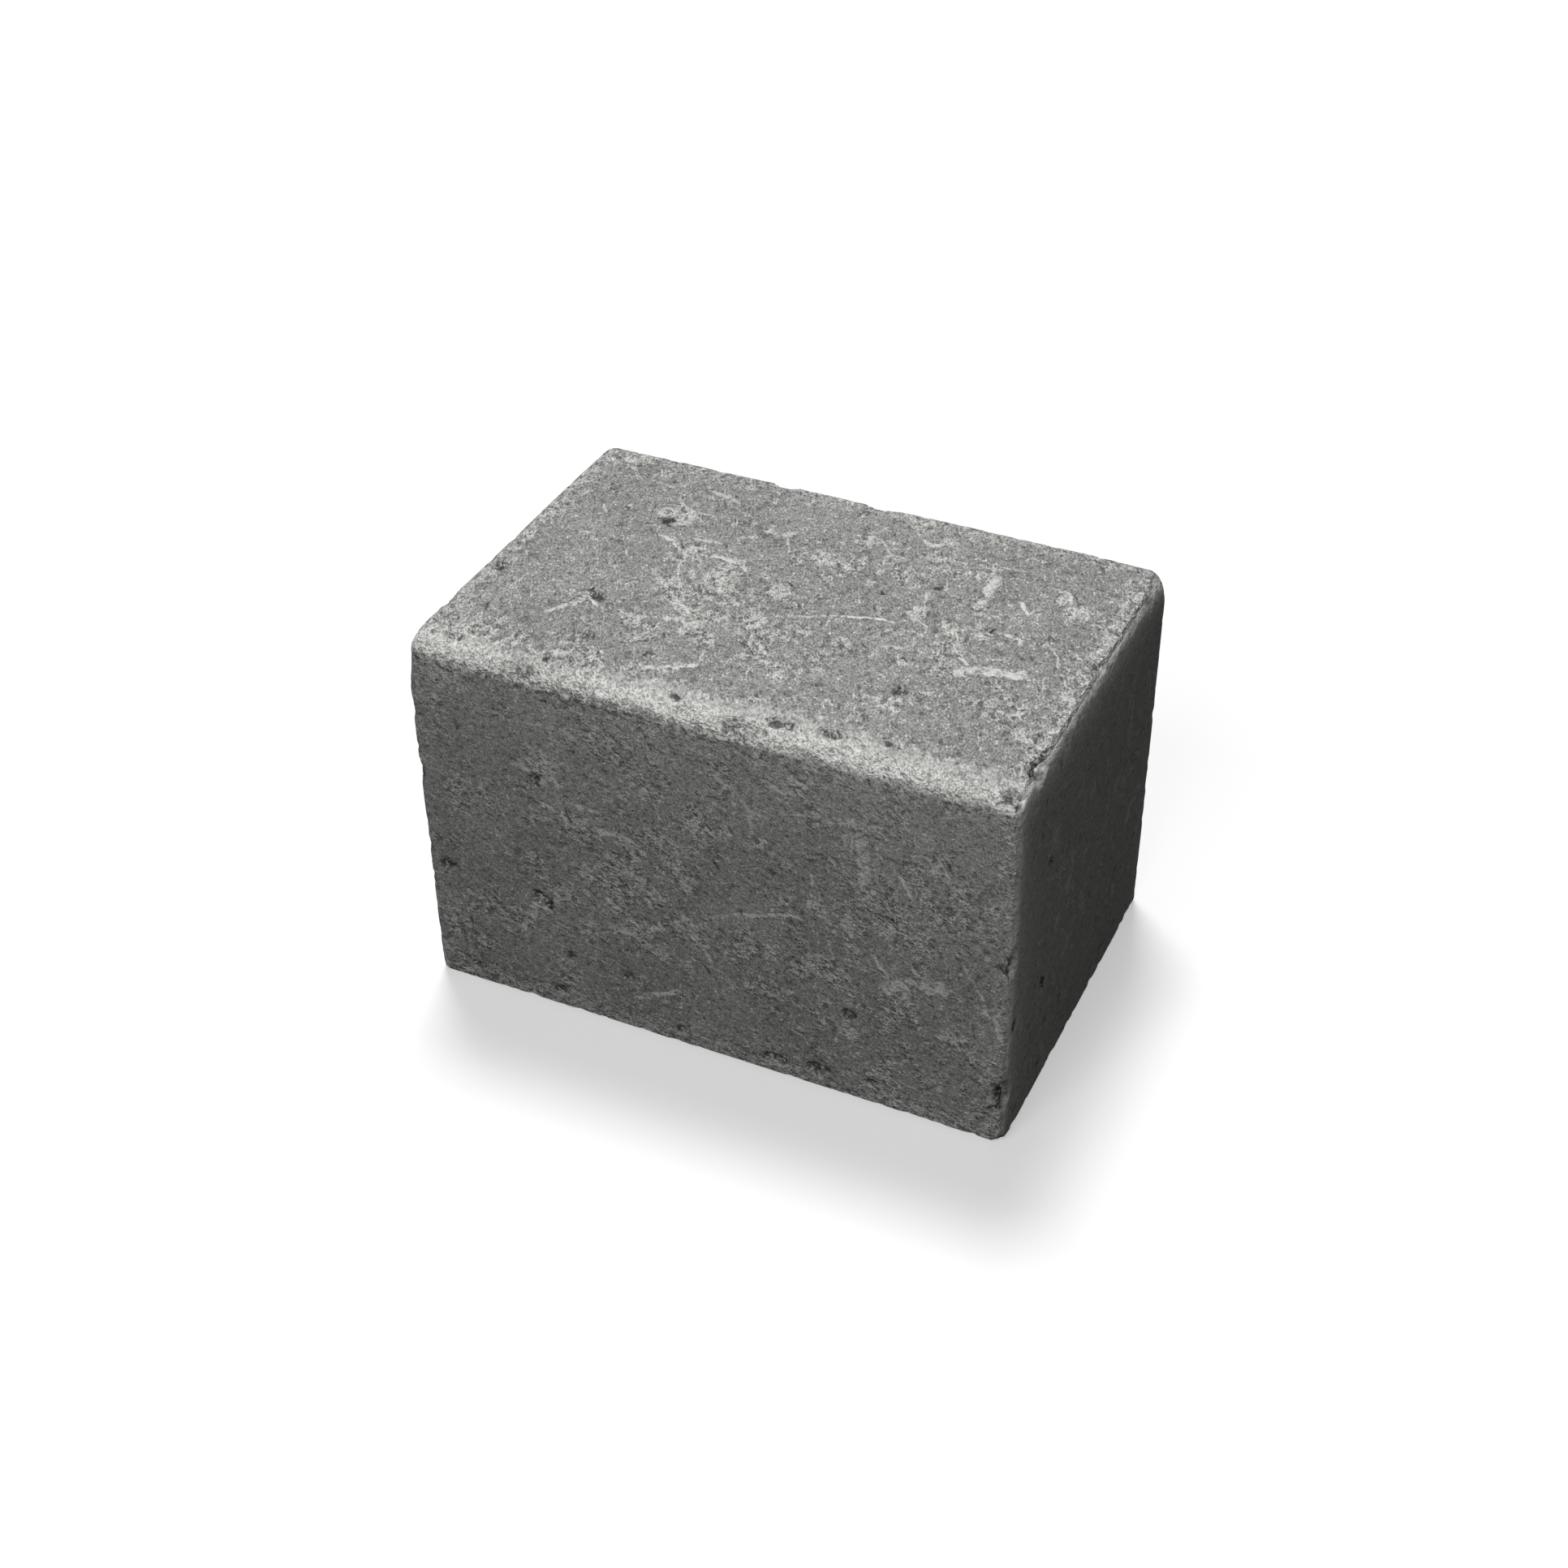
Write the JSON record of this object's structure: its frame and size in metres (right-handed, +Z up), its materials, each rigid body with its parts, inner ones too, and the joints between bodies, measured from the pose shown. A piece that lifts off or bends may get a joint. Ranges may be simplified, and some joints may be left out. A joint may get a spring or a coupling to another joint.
{
  "type": "sharpening whetstone",
  "caption": "Solid rectangular block whetstone with softly rounded, chipped edges and a pitted, scuffed face, for honing carving blades.",
  "frame": {"origin": "middle of the bottom face, which the stone rests on", "axes": "+X along the length, -Y out of the front long side whose upper edge is worn, +Z up out of the honing face"},
  "size_m": [0.09, 0.06, 0.06],
  "materials": {
    "stone": "rough, pitted mid-grey stone with paler scuffs"
  },
  "bodies": {
    "root": {"whetstone_block": "stone"}
  },
  "joints": []
}
